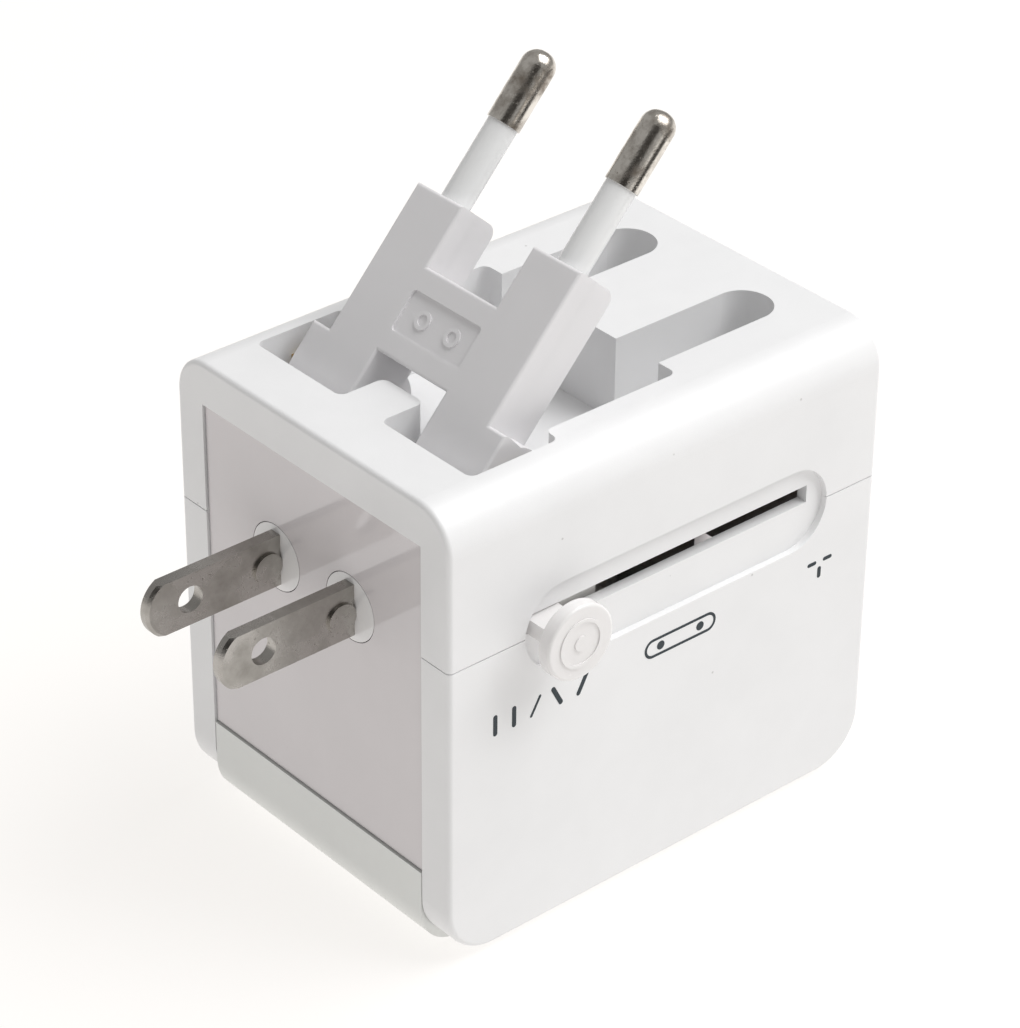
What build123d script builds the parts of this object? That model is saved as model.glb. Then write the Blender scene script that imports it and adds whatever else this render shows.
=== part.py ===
from build123d import *
import math
import os

# Universal travel adapter, in millimetres.
# +X runs from the face with the two flat blades to the face with the three pins.
# -Y is the side with the sliding knob. +Z is up, and the part rests on its socket cover.
# The origin is the middle of that resting face.

# Casing
length = 61.8
width = 46.0
top_height = 57.7
parting_height = 38.85
wall = 2.2
top_edge_radius = 5.0
wall_corner_radius = 6.4
wall_foot = 1.0
casing_edge_radius = 0.6

# Face panels and the socket cover that fill the middle of the casing
panel_half_width = 18.5
panel_bottom = 10.95
panel_top = 52.5
panel_recess = 0.3
panel_flange = 0.8
panel_lip = 1.0
seam_gap = 0.18
groove_height = 0.14
groove_depth = 0.3
cover_corner_radius = 5.4
cover_thickness = 3.2
deck_thickness = 1.6

# Sliding carriage, its side slot and its push knob
slot_left = -19.8
slot_right = 21.0
slot_height = 2.2
recess_depth = 0.8
recess_height = 10.5
recess_left = -20.5
recess_right = 23.4
stem_width = 4.4
stem_height = 1.9
stem_clearance = 0.1
knob_diameter = 9.0
knob_rim = 1.8
knob_stand_off = 3.5
knob_travel = 1.8
knob_edge_radius = 0.35
knob_ring_radius = 2.9
knob_ring_width = 0.4
knob_dot_radius = 0.9
knob_stem_depth = 7.0
knob_mark_height = 0.15
knob_shoulder_width = 6.0
knob_shoulder_height = 4.0
knob_shoulder_thickness = 1.5
knob_shoulder_head_gap = 0.15
spring_radius = 1.3
spring_wire_radius = 0.2
spring_turns = 5
spring_solid_length = 3.7
carriage_side_gap = 0.5
carriage_end_gap = 0.1
carriage_top_gap = 0.3
carriage_bottom = 33.5
ledge_gap = 0.1
ledge_height = 2.0
ledge_width = 2.0
ledge_end_gap = 1.0
running_clearance = 0.05

# Two flat blades that turn in the carriage
blade_spacing = 12.7
blade_height = 6.35
blade_thickness = 1.5
blade_reach = 17.4
blade_hole_diameter = 3.2
blade_hole_place = 11.7
blade_tip_radius = 3.9
blade_boss_diameter = 3.6
blade_boss_height = 0.35
blade_boss_place = 1.5
blade_boss_drop = 0.3
blade_tip_bevel = 0.35
blade_tail_height = 4.0
rotor_diameter = 8.0
rotor_hole_clearance = 0.1
rotor_shank_diameter = 7.2
rotor_flange_diameter = 8.6
rotor_flange_thickness = 1.2
rotor_flange_place = 2.0
rotor_disc_seat = 1.0

# Three rectangular pins on the far side of the carriage
uk_pin_spacing = 22.2
uk_earth_drop = 22.2
uk_pin_width = 6.35
uk_pin_thickness = 4.0
uk_earth_width = 4.0
uk_earth_height = 8.0
uk_pin_reach = 17.7
uk_pin_root = 4.6
uk_pin_bevel = 0.9
pin_slot_clearance = 0.25
arm_half_width = 2.6
arm_thickness = 5.3
arm_foot_depth = 1.0

# Folding frame with two round pins
euro_spacing = 19.0
euro_angle = 47.7
euro_pivot_x = -17.07
euro_face_gap = 0.32
euro_face_offset = 4.8
euro_leg_length = 23.2
euro_leg_width = 7.6
euro_leg_thickness = 6.5
euro_pin_depth = 2.8
euro_ear_width = 2.7
euro_bar_top = 7.5
euro_bar_height = 10.3
euro_pin_diameter = 4.0
euro_sleeve_diameter = 3.6
euro_core_diameter = 3.0
euro_pin_reach = 19.0
euro_sleeve_reach = 10.0
euro_sleeve_root = 2.0
euro_core_start = 5.5
euro_plate_width = 11.2
euro_plate_height = 5.0
euro_plate_depth = 0.35
euro_plate_corner = 0.5
euro_ring_place = 2.4
euro_ring_radius = 1.1
euro_ring_width = 0.45
euro_ring_height = 0.2
euro_ear_height = 4.7
euro_ear_foot = 3.9
euro_ear_heel = 1.0
euro_ear_slope_end = 2.0
euro_tip_flat = 0.15
euro_edge_radius = 0.35
euro_back_radius = 1.4
pivot_pin_diameter = 2.5
pivot_bore_depth = 2.0
pivot_bore_end_gap = 0.1
pocket_end_gap = 0.8

# Pocket in the top face
pocket_front = -23.85
pocket_outer = 18.0
pocket_step_outer = 15.75
pocket_step_x = -11.9
pocket_leg_gap = 0.6
pocket_floor_gap = 0.35
pocket_floor_thickness = 1.43
pocket_corner_radius = 1.0
tongue_half_width = 3.35
tongue_end = -17.9
channel_width = 6.8

# Socket in the resting face and the metal parts behind it
socket_x = 4.0
socket_pin_clearance = 0.4
sheet = 0.6
contact_inner = 3.9
contact_outer = 15.5
contact_half_depth = 4.6
euro_contact_half_width = 2.0
rail_leg_half_width = 2.0
wiper_place = 6.0
wiper_length = 6.0
wiper_root = 1.2
contact_top = 16.0
rail_foot_drop = 2.0
wiper_bottom_gap = 1.0
rail_half_length = 24.0
rail_height = 6.2
fuse_diameter = 5.2
fuse_length = 20.0
fuse_end_gap = 0.5
clip_place = 0.5
clip_length = 4.0
clip_grip = 1.5
fuse_y = -9.0
screw_x = 24.0
screw_y = 15.0
screw_diameter = 2.2
screw_head_diameter = 4.2
screw_length = 9.0
screw_sink = 0.1
screw_hole_short = 1.0
screw_drive_width = 0.5
screw_drive_length = 2.6
screw_drive_depth = 0.6
boss_diameter = 5.0

os.makedirs("parts", exist_ok=True)

# Values that follow from the ones above
half_length = length / 2
half_width = width / 2
inner_x = half_length - wall
inner_y = half_width - wall
deck_top = cover_thickness + deck_thickness
euro_pivot_z = top_height - euro_face_gap - euro_face_offset
pocket_floor = euro_pivot_z - euro_face_offset - pocket_floor_gap
ceiling = pocket_floor - pocket_floor_thickness
panel_face = half_length - panel_recess
panel_back = inner_x - panel_flange
slide_travel = slot_right - slot_left - stem_width - 2 * stem_clearance
stem_x = slot_left + stem_clearance + stem_width / 2
carriage_front = -panel_back + carriage_end_gap
carriage_back = panel_back - carriage_end_gap - slide_travel
carriage_top = ceiling - carriage_top_gap
carriage_half_width = inner_y - carriage_side_gap
slot_middle = parting_height + slot_height / 2
blade_y = blade_spacing / 2
uk_pin_y = uk_pin_spacing / 2
uk_pin_tip = panel_face + uk_pin_reach - slide_travel
uk_earth_z = parting_height - uk_earth_drop
euro_y = euro_spacing / 2
leg_inner = euro_y - euro_leg_width / 2
leg_outer = euro_y + euro_leg_width / 2
ear_outer = leg_outer + euro_ear_width
pocket_leg_end = euro_pivot_x + euro_leg_length + pocket_leg_gap
channel_end = euro_pivot_x + euro_leg_length + euro_pin_reach + pocket_end_gap
knob_front = -half_width - knob_stand_off - knob_rim


def block(x_low, x_high, y_low, y_high, z_low, z_high, mode=Mode.ADD):
    """A box between two corners, added to or cut from the part being built."""
    centre = ((x_low + x_high) / 2, (y_low + y_high) / 2, (z_low + z_high) / 2)
    with Locations(centre):
        Box(x_high - x_low, y_high - y_low, z_high - z_low, mode=mode)


def rod(x_low, x_high, y, z, radius, mode=Mode.ADD):
    """A round bar along X, added to or cut from the part being built."""
    with Locations(Location(((x_low + x_high) / 2, y, z), (0, 90, 0))):
        Cylinder(radius, x_high - x_low, mode=mode)


def cross_rod(x, y_low, y_high, z, radius, mode=Mode.ADD):
    """A round bar along Y, added to or cut from the part being built."""
    with Locations(Location((x, (y_low + y_high) / 2, z), (90, 0, 0))):
        Cylinder(radius, y_high - y_low, mode=mode)


def slot_recess():
    """The shallow track round the side slot, half in each shell."""
    track_length = recess_right - recess_left
    track_middle = (recess_left + recess_right) / 2
    with BuildSketch(Plane.XZ.offset(half_width)) as track:
        with Locations((track_middle, parting_height)):
            SlotOverall(track_length, recess_height)
    extrude(track.sketch, amount=-recess_depth, mode=Mode.SUBTRACT)


def panel_windows():
    """The two end windows that hold the face panels, with a rebate for each flange."""
    for side in (-1, 1):
        outer = side * half_length
        middle = side * inner_x
        inner = side * panel_back
        block(min(outer, middle), max(outer, middle), -panel_half_width, panel_half_width,
              panel_bottom, panel_top, mode=Mode.SUBTRACT)
        block(min(middle, inner), max(middle, inner), -panel_half_width - panel_lip,
              panel_half_width + panel_lip, panel_bottom, panel_top + panel_lip, mode=Mode.SUBTRACT)


def socket_openings(clearance):
    """Openings for round, flat and rectangular pins, drawn on the current sketch plane."""
    for side in (-1, 1):
        with Locations((socket_x, side * euro_y)):
            Circle(euro_pin_diameter / 2 + clearance)
        with Locations((socket_x, side * blade_y)):
            Rectangle(blade_height + 2 * clearance, blade_thickness + 2 * clearance)
        with Locations((socket_x, side * uk_pin_y)):
            Rectangle(uk_pin_thickness + 2 * clearance, uk_pin_width + 2 * clearance)
    with Locations((socket_x - uk_earth_drop, 0)):
        Rectangle(uk_earth_height + 2 * clearance, uk_earth_width + 2 * clearance)


# Upper shell: one extrusion along X with both long top edges rounded
with BuildPart() as upper_housing:
    with BuildSketch(Plane.YZ.offset(-half_length)):
        with BuildLine():
            FilletPolyline(
                (-half_width, parting_height),
                (-half_width, top_height),
                (half_width, top_height),
                (half_width, parting_height),
                radius=top_edge_radius,
            )
            Line((half_width, parting_height), (-half_width, parting_height))
        make_face()
    extrude(amount=length)
    for end_face in upper_housing.faces().filter_by(Axis.X):
        end_edges = end_face.edges().filter_by_position(Axis.Z, parting_height, parting_height,
                                                        inclusive=(True, True))
        fillet(end_face.edges() - end_edges, radius=casing_edge_radius)
    block(-inner_x, inner_x, -inner_y, inner_y, parting_height, ceiling, mode=Mode.SUBTRACT)
    panel_windows()
    # Shadow groove that marks the parting line round the outside
    groove_top = parting_height + groove_height
    for side in (-1, 1):
        faces = sorted((side * half_width, side * (half_width - groove_depth)))
        block(-half_length, half_length, faces[0], faces[1], parting_height, groove_top,
              mode=Mode.SUBTRACT)
        faces = sorted((side * half_length, side * (half_length - groove_depth)))
        block(faces[0], faces[1], -half_width, half_width, parting_height, groove_top,
              mode=Mode.SUBTRACT)
    slot_recess()
    block(slot_left, slot_right, -half_width, -inner_y, parting_height,
          parting_height + slot_height, mode=Mode.SUBTRACT)
    # Folding pocket: room for the frame, a tongue at its foot and two pin channels
    with BuildSketch(Plane.XY.offset(pocket_floor)) as pocket:
        with BuildLine():
            Polyline(
                (pocket_front, -pocket_outer),
                (pocket_step_x, -pocket_outer),
                (pocket_step_x, -pocket_step_outer),
                (pocket_leg_end, -pocket_step_outer),
                (pocket_leg_end, pocket_step_outer),
                (pocket_step_x, pocket_step_outer),
                (pocket_step_x, pocket_outer),
                (pocket_front, pocket_outer),
                (pocket_front, tongue_half_width),
                (tongue_end, tongue_half_width),
                (tongue_end, -tongue_half_width),
                (pocket_front, -tongue_half_width),
                close=True,
            )
        make_face()
        fillet(pocket.vertices(), radius=pocket_corner_radius)
        for side in (-1, 1):
            channel_start = pocket_leg_end - channel_width
            with Locations(((channel_start + channel_end) / 2, side * euro_y)):
                SlotOverall(channel_end - channel_start, channel_width)
    extrude(amount=top_height - pocket_floor, mode=Mode.SUBTRACT)
    # Bores for the two pivot pins and slits for their contacts
    for side in (-1, 1):
        ends = sorted((side * leg_outer, side * (inner_y + wall / 2)))
        cross_rod(euro_pivot_x, ends[0], ends[1], euro_pivot_z, pivot_pin_diameter / 2,
                  mode=Mode.SUBTRACT)
        faces = sorted((side * pocket_outer, side * (pocket_outer - sheet)))
        block(euro_pivot_x - euro_contact_half_width,
              euro_pivot_x + euro_contact_half_width, faces[0], faces[1], ceiling, pocket_floor,
              mode=Mode.SUBTRACT)
upper_housing.part.label = "upper_housing"
export_step(upper_housing.part, "parts/upper_housing.step")

# Lower shell: two side walls with rounded corners, joined by a deck above the socket cover
with BuildPart() as lower_housing:
    with BuildSketch(Plane.XZ):
        with BuildLine():
            FilletPolyline(
                (-half_length, parting_height),
                (-half_length, wall_foot),
                (half_length, wall_foot),
                (half_length, parting_height),
                radius=wall_corner_radius,
            )
            Line((half_length, parting_height), (-half_length, parting_height))
        make_face()
    extrude(amount=half_width, both=True)
    for side_face in lower_housing.faces().filter_by(Axis.Y):
        top_edge = side_face.edges().filter_by_position(Axis.Z, parting_height, parting_height,
                                                        inclusive=(True, True))
        fillet(side_face.edges() - top_edge, radius=casing_edge_radius)
    block(-inner_x, inner_x, -inner_y, inner_y, deck_top, parting_height, mode=Mode.SUBTRACT)
    block(-half_length, half_length, -panel_half_width, panel_half_width, wall_foot,
          cover_thickness, mode=Mode.SUBTRACT)
    panel_windows()
    for side in (-1, 1):
        faces = sorted((side * half_length, side * inner_x))
        block(faces[0], faces[1], -panel_half_width, panel_half_width, wall_foot, panel_bottom,
              mode=Mode.SUBTRACT)
    slot_recess()
    # Ledges that carry the carriage
    for side in (-1, 1):
        faces = sorted((side * inner_y, side * (inner_y - ledge_width)))
        block(-inner_x + ledge_end_gap, inner_x - ledge_end_gap, faces[0], faces[1],
              carriage_bottom - ledge_gap - ledge_height, carriage_bottom - ledge_gap)
    # Screw bosses standing on the deck
    with BuildSketch(Plane.XY.offset(deck_top)):
        with GridLocations(2 * screw_x, 2 * screw_y, 2, 2):
            Circle(boss_diameter / 2)
    extrude(amount=screw_length - deck_thickness)
    with BuildSketch(Plane.XY.offset(cover_thickness)):
        with GridLocations(2 * screw_x, 2 * screw_y, 2, 2):
            Circle(screw_diameter / 2)
    extrude(amount=screw_length - screw_hole_short, mode=Mode.SUBTRACT)
    with BuildSketch(Plane.XY.offset(cover_thickness)):
        socket_openings(socket_pin_clearance)
    extrude(amount=deck_thickness, mode=Mode.SUBTRACT)
lower_housing.part.label = "lower_housing"
export_step(lower_housing.part, "parts/lower_housing.step")

# Socket cover: a band under the casing that turns up at both ends, with the socket openings
cover_half_width = panel_half_width - seam_gap
cover_top = panel_bottom - seam_gap
with BuildPart() as socket_cover:
    with BuildSketch(Plane.XZ):
        with BuildLine():
            FilletPolyline(
                (-half_length, cover_top),
                (-half_length, 0),
                (half_length, 0),
                (half_length, cover_top),
                radius=cover_corner_radius,
            )
            Line((half_length, cover_top), (-half_length, cover_top))
        make_face()
        with Locations((0, cover_top)):
            Rectangle(2 * inner_x, 2 * (cover_top - cover_thickness), mode=Mode.SUBTRACT)
    extrude(amount=cover_half_width, both=True)
    with BuildSketch(Plane.XY):
        socket_openings(socket_pin_clearance)
    extrude(amount=cover_thickness, mode=Mode.SUBTRACT)
    with Locations(Plane.XY.offset(0)):
        with GridLocations(2 * screw_x, 2 * screw_y, 2, 2):
            with Locations(Location((0, 0, 0), (180, 0, 0))):
                CounterSinkHole(screw_diameter / 2, screw_head_diameter / 2, cover_thickness)
socket_cover.part.label = "socket_cover"
export_step(socket_cover.part, "parts/socket_cover.step")

# Four countersunk screws that hold the socket cover to the deck
with BuildPart() as cover_screws:
    with GridLocations(2 * screw_x, 2 * screw_y, 2, 2):
        head_height = (screw_head_diameter - screw_diameter) / 2
        with Locations((0, 0, screw_sink + head_height / 2)):
            Cone(screw_head_diameter / 2 - screw_sink, screw_diameter / 2, head_height)
        with Locations((0, 0, screw_sink + head_height + screw_length / 2)):
            Cylinder(screw_diameter / 2, screw_length)
        with Locations((0, 0, screw_sink)):
            Box(screw_drive_length, screw_drive_width, 2 * screw_drive_depth, mode=Mode.SUBTRACT)
            Box(screw_drive_width, screw_drive_length, 2 * screw_drive_depth, mode=Mode.SUBTRACT)
cover_screws.part.label = "cover_screws"
export_step(cover_screws.part, "parts/cover_screws.step")


def face_panel(side):
    """A plate flush in its end window, with a flange behind the shells. side is -1 or 1."""
    half = panel_half_width - seam_gap
    outside = sorted((side * panel_face, side * inner_x))
    inside = sorted((side * inner_x, side * panel_back))
    block(outside[0], outside[1], -half, half, panel_bottom, panel_top - seam_gap)
    block(inside[0], inside[1], -half - panel_lip, half + panel_lip, panel_bottom,
          panel_top + panel_lip - seam_gap)


with BuildPart() as us_face_panel:
    face_panel(-1)
    for side in (-1, 1):
        rod(-half_length, -panel_back, side * blade_y, parting_height,
            rotor_diameter / 2 + rotor_hole_clearance, mode=Mode.SUBTRACT)
us_face_panel.part.label = "us_face_panel"
export_step(us_face_panel.part, "parts/us_face_panel.step")

with BuildPart() as uk_face_panel:
    face_panel(1)
    with BuildSketch(Plane.YZ.offset(panel_back)):
        with Locations((uk_pin_y, parting_height), (-uk_pin_y, parting_height)):
            Rectangle(uk_pin_width + 2 * pin_slot_clearance, uk_pin_thickness + 2 * pin_slot_clearance)
        with Locations((0, uk_earth_z)):
            Rectangle(uk_earth_width + 2 * pin_slot_clearance, uk_earth_height + 2 * pin_slot_clearance)
    extrude(amount=half_length - panel_back, mode=Mode.SUBTRACT)
uk_face_panel.part.label = "uk_face_panel"
export_step(uk_face_panel.part, "parts/uk_face_panel.step")

# Carriage: two halves that clamp the rotors and the pin roots, with a lower arm for the earth pin
rotor_front = -panel_face
rotor_step = carriage_front + rotor_disc_seat
rotor_end = stem_x - knob_shoulder_width / 2 - rotor_disc_seat
flange_start = rotor_step + rotor_flange_place
root_start = carriage_back - uk_pin_root
shoulder_y = -half_width + knob_stem_depth
spring_start = shoulder_y + knob_shoulder_thickness
shoulder_pocket_end = spring_start + knob_travel + spring_solid_length
earth_top = uk_earth_z + uk_earth_height / 2


def carriage_cavities():
    """Room for the two rotors, the roots of the two upper pins, the knob and its spring."""
    for side in (-1, 1):
        rod(carriage_front, rotor_step, side * blade_y, parting_height,
            rotor_diameter / 2 + running_clearance, mode=Mode.SUBTRACT)
        rod(rotor_step, rotor_end + carriage_end_gap, side * blade_y, parting_height,
            rotor_shank_diameter / 2 + running_clearance, mode=Mode.SUBTRACT)
        rod(flange_start - running_clearance, flange_start + rotor_flange_thickness + running_clearance,
            side * blade_y, parting_height, rotor_flange_diameter / 2 + running_clearance,
            mode=Mode.SUBTRACT)
        block(root_start, carriage_back, side * uk_pin_y - uk_pin_width / 2,
              side * uk_pin_y + uk_pin_width / 2, parting_height - uk_pin_thickness / 2,
              parting_height + uk_pin_thickness / 2, mode=Mode.SUBTRACT)
    block(stem_x - stem_width / 2 - running_clearance, stem_x + stem_width / 2 + running_clearance,
          -carriage_half_width, shoulder_y, slot_middle - stem_height / 2 - running_clearance,
          slot_middle + stem_height / 2 + running_clearance, mode=Mode.SUBTRACT)
    block(stem_x - knob_shoulder_width / 2 - running_clearance,
          stem_x + knob_shoulder_width / 2 + running_clearance, shoulder_y, shoulder_pocket_end,
          parting_height,
          parting_height + knob_shoulder_height + running_clearance + knob_shoulder_head_gap,
          mode=Mode.SUBTRACT)


with BuildPart() as carriage_body:
    block(carriage_front, carriage_back, -carriage_half_width, carriage_half_width,
          carriage_bottom, parting_height)
    block(carriage_back - arm_thickness, carriage_back, -arm_half_width, arm_half_width,
          uk_earth_z - uk_earth_height / 2 - arm_foot_depth, carriage_bottom)
    carriage_cavities()
    block(root_start, carriage_back, -uk_earth_width / 2, uk_earth_width / 2,
          uk_earth_z - uk_earth_height / 2, earth_top, mode=Mode.SUBTRACT)
    for side in (-1, 1):
        faces = sorted((side * (inner_y - ledge_width - sheet - running_clearance),
                        side * (inner_y - ledge_width - 2 * sheet - running_clearance)))
        block(carriage_front + wiper_place, carriage_front + wiper_place + wiper_length,
              faces[0], faces[1], carriage_bottom, carriage_bottom + wiper_root, mode=Mode.SUBTRACT)
carriage_body.part.label = "carriage_body"
export_step(carriage_body.part, "parts/carriage_body.step")

with BuildPart() as carriage_cap:
    block(carriage_front, carriage_back, -carriage_half_width, carriage_half_width,
          parting_height, carriage_top)
    carriage_cavities()
carriage_cap.part.label = "carriage_cap"
export_step(carriage_cap.part, "parts/carriage_cap.step")

# Push knob: round cap, flat stem through the side slot and a shoulder inside the carriage
with BuildPart() as push_knob:
    cross_rod(stem_x, knob_front, knob_front + knob_rim, slot_middle, knob_diameter / 2)
    rim_edges = push_knob.edges().filter_by(GeomType.CIRCLE)
    fillet(rim_edges, radius=knob_edge_radius)
    with BuildSketch(Plane.XZ.offset(-knob_front)):
        with Locations((stem_x, slot_middle)):
            Circle(knob_ring_radius)
            Circle(knob_ring_radius - knob_ring_width, mode=Mode.SUBTRACT)
            Circle(knob_dot_radius)
    extrude(amount=knob_mark_height)
    block(stem_x - stem_width / 2, stem_x + stem_width / 2, knob_front + knob_rim, shoulder_y,
          slot_middle - stem_height / 2, slot_middle + stem_height / 2)
    block(stem_x - knob_shoulder_width / 2, stem_x + knob_shoulder_width / 2, shoulder_y,
          spring_start, parting_height + running_clearance,
          parting_height + running_clearance + knob_shoulder_height)
push_knob.part.label = "push_knob"
export_step(push_knob.part, "parts/push_knob.step")

# Coil spring behind the knob's shoulder
spring_z = parting_height + running_clearance + knob_shoulder_height / 2
spring_length = shoulder_pocket_end - spring_start - 2 * spring_wire_radius
spring_base = (stem_x, spring_start + spring_wire_radius, spring_z)
with BuildPart() as knob_spring:
    with BuildLine() as coil:
        Helix(spring_length / spring_turns, spring_length, spring_radius,
              center=spring_base, direction=(0, 1, 0))
    with BuildSketch(Plane(coil.line @ 0, z_dir=coil.line % 0)):
        Circle(spring_wire_radius)
    sweep(is_frenet=True)
knob_spring.part.label = "knob_spring"
export_step(knob_spring.part, "parts/knob_spring.step")


def rotor_shape(y):
    """Stepped turning disc that carries one flat blade."""
    rod(rotor_front, rotor_step, y, parting_height, rotor_diameter / 2)
    rod(rotor_step, rotor_end, y, parting_height, rotor_shank_diameter / 2)
    rod(flange_start, flange_start + rotor_flange_thickness, y, parting_height,
        rotor_flange_diameter / 2)


def blade_shape(y):
    """Flat blade with a rounded tip, a hole, a narrower tail and a pressed boss near its root."""
    tip = -half_length - blade_reach
    half = blade_height / 2
    shoulder = carriage_front
    tail = blade_tail_height / 2
    sagitta = blade_tip_radius - math.sqrt(blade_tip_radius ** 2 - half ** 2)
    with BuildSketch(Plane.XZ.offset(-y)) as side_view:
        with BuildLine():
            ThreePointArc(
                (tip + sagitta, parting_height + half),
                (tip, parting_height),
                (tip + sagitta, parting_height - half),
            )
            Polyline(
                (tip + sagitta, parting_height - half),
                (shoulder, parting_height - half),
                (shoulder, parting_height - tail),
                (rotor_end, parting_height - tail),
                (rotor_end, parting_height + tail),
                (shoulder, parting_height + tail),
                (shoulder, parting_height + half),
                (tip + sagitta, parting_height + half),
            )
        make_face()
        with Locations((-half_length - blade_hole_place, parting_height)):
            Circle(blade_hole_diameter / 2, mode=Mode.SUBTRACT)
    extrude(side_view.sketch, amount=blade_thickness / 2, both=True)
    cross_rod(-half_length - blade_boss_place, y - blade_thickness / 2 - blade_boss_height, y,
              parting_height - blade_boss_drop, blade_boss_diameter / 2)


for name, y in (("near", -blade_y), ("far", blade_y)):
    with BuildPart() as rotor:
        rotor_shape(y)
        block(rotor_front, carriage_front, y - blade_thickness / 2, y + blade_thickness / 2,
              parting_height - blade_height / 2, parting_height + blade_height / 2, mode=Mode.SUBTRACT)
        block(carriage_front, rotor_end, y - blade_thickness / 2, y + blade_thickness / 2,
              parting_height - blade_tail_height / 2, parting_height + blade_tail_height / 2,
              mode=Mode.SUBTRACT)
    rotor.part.label = name + "_blade_rotor"
    export_step(rotor.part, "parts/" + name + "_blade_rotor.step")
    with BuildPart() as blade:
        blade_shape(y)
        tip_faces = blade.faces().filter_by(GeomType.CYLINDER).sort_by(Axis.X)[0]
        chamfer(tip_faces.edges().filter_by(GeomType.CIRCLE), length=blade_tip_bevel)
    blade.part.label = name + "_us_blade"
    export_step(blade.part, "parts/" + name + "_us_blade.step")


def square_pin(pin_width, pin_height, y, z):
    """Rectangular pin with a bevelled tip, from its root in the carriage to its tip."""
    with BuildSketch(Plane.YZ.offset(root_start)) as section:
        with Locations((y, z)):
            Rectangle(pin_width, pin_height)
    extrude(section.sketch, amount=uk_pin_tip - root_start)


for name, pin_width, pin_height, y, z in (
    ("live_uk_pin", uk_pin_width, uk_pin_thickness, uk_pin_y, parting_height),
    ("neutral_uk_pin", uk_pin_width, uk_pin_thickness, -uk_pin_y, parting_height),
    ("earth_uk_pin", uk_earth_width, uk_earth_height, 0, uk_earth_z),
):
    with BuildPart() as pin:
        square_pin(pin_width, pin_height, y, z)
        chamfer(pin.faces().sort_by(Axis.X)[-1].edges(), length=uk_pin_bevel)
    pin.part.label = name
    export_step(pin.part, "parts/" + name + ".step")

# Brass parts fixed inside: socket contacts, rails on the ledges, and the carriage's wipers on the rails
rail_outer = inner_y - ledge_width
rail_top = carriage_bottom - ledge_gap
rail_foot = contact_top - rail_foot_drop
for name, side in (("neutral", -1), ("live", 1)):
    with BuildPart() as contact:
        faces = sorted((side * contact_inner, side * contact_outer))
        block(socket_x - contact_half_depth, socket_x + contact_half_depth, faces[0], faces[1],
              deck_top, contact_top)
        block(socket_x - contact_half_depth + sheet, socket_x + contact_half_depth - sheet,
              faces[0] + sheet, faces[1] - sheet, deck_top, contact_top, mode=Mode.SUBTRACT)
    contact.part.label = name + "_socket_contact"
    export_step(contact.part, "parts/" + name + "_socket_contact.step")
    with BuildPart() as rail:
        faces = sorted((side * rail_outer, side * (rail_outer - sheet)))
        block(-rail_half_length, rail_half_length, faces[0], faces[1], rail_top - rail_height,
              rail_top)
        block(socket_x - rail_leg_half_width, socket_x + rail_leg_half_width, faces[0], faces[1],
              rail_foot, rail_top - rail_height)
        foot = sorted((side * rail_outer, side * contact_outer))
        block(socket_x - rail_leg_half_width, socket_x + rail_leg_half_width, foot[0], foot[1],
              rail_foot - sheet, rail_foot)
    rail.part.label = name + "_rail"
    export_step(rail.part, "parts/" + name + "_rail.step")
    with BuildPart() as wiper:
        faces = sorted((side * (rail_outer - sheet - running_clearance),
                        side * (rail_outer - 2 * sheet - running_clearance)))
        block(carriage_front + wiper_place, carriage_front + wiper_place + wiper_length,
              faces[0], faces[1], rail_top - rail_height + wiper_bottom_gap,
              carriage_bottom + wiper_root)
    wiper.part.label = name + "_wiper"
    export_step(wiper.part, "parts/" + name + "_wiper.step")

# Fuse lying on the deck in two spring clips
fuse_z = deck_top + sheet + fuse_diameter / 2
fuse_start = -rail_half_length + fuse_end_gap
with BuildPart() as fuse:
    rod(fuse_start, fuse_start + fuse_length, fuse_y, fuse_z, fuse_diameter / 2)
fuse.part.label = "fuse"
export_step(fuse.part, "parts/fuse.step")

with BuildPart() as fuse_clips:
    for start in (fuse_start + clip_place, fuse_start + fuse_length - clip_place - clip_length):
        block(start, start + clip_length, fuse_y - fuse_diameter / 2 - sheet,
              fuse_y + fuse_diameter / 2 + sheet, deck_top, fuse_z + clip_grip)
        block(start, start + clip_length, fuse_y - fuse_diameter / 2, fuse_y + fuse_diameter / 2,
              fuse_z, fuse_z + clip_grip, mode=Mode.SUBTRACT)
        rod(start, start + clip_length, fuse_y, fuse_z, fuse_diameter / 2, mode=Mode.SUBTRACT)
fuse_clips.part.label = "fuse_clips"
export_step(fuse_clips.part, "parts/fuse_clips.step")

# Folding frame, drawn in its own tilted axes: along the legs, across, and out of the marked face
tilt = math.radians(euro_angle)
along = Vector(math.cos(tilt), 0, math.sin(tilt))
outward = Vector(-math.sin(tilt), 0, math.cos(tilt))
pivot = Vector(euro_pivot_x, 0, euro_pivot_z)
pin_offset = euro_face_offset - euro_pin_depth
bar_end = euro_leg_length - euro_bar_top
bar_start = bar_end - euro_bar_height
back_offset = euro_face_offset - euro_leg_thickness
pivot_pin_start = leg_inner + pivot_bore_depth + pivot_bore_end_gap


def frame_front_plane(offset):
    """The plane across the frame at a given distance out from its pivot axis."""
    return Plane(origin=pivot + outward * offset, x_dir=along, z_dir=outward)


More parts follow.
